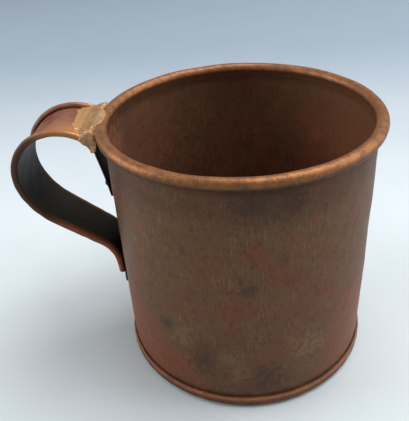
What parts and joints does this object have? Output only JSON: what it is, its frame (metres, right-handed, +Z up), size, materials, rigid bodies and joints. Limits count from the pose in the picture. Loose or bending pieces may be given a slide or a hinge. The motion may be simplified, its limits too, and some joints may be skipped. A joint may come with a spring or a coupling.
{
  "type": "mug",
  "caption": "Straight-sided drinking mug of sheet copper, with a wired rim, a bottom turned up round the foot, and a riveted and brazed strap handle with wired edges.",
  "frame": {"origin": "on the mug's axis, on the surface it stands on", "axes": "+Z up along the mug's axis; the handle points along -X, and the XZ plane cuts it in half"},
  "size_m": [0.1337, 0.1016, 0.099],
  "materials": {
    "body_copper": "aged brown copper, fine upright brush marks",
    "bottom_copper": "aged brown copper with a worn bright edge",
    "strap_copper": "aged purplish brown copper",
    "rivet_copper": "dark hammered copper",
    "braze": "rough golden braze",
    "iron_wire": "drawn wire",
    "solder": "dull tin solder"
  },
  "bodies": {
    "root": {"wall": "body_copper", "rim_wire": "iron_wire", "bottom": "bottom_copper", "bottom_solder": "solder", "seam_solder": "solder", "handle_strap": "strap_copper", "handle_wire_near": "iron_wire", "handle_wire_far": "iron_wire", "upper_rivet": "rivet_copper", "lower_rivet": "rivet_copper", "rim_braze": "braze"}
  },
  "joints": []
}
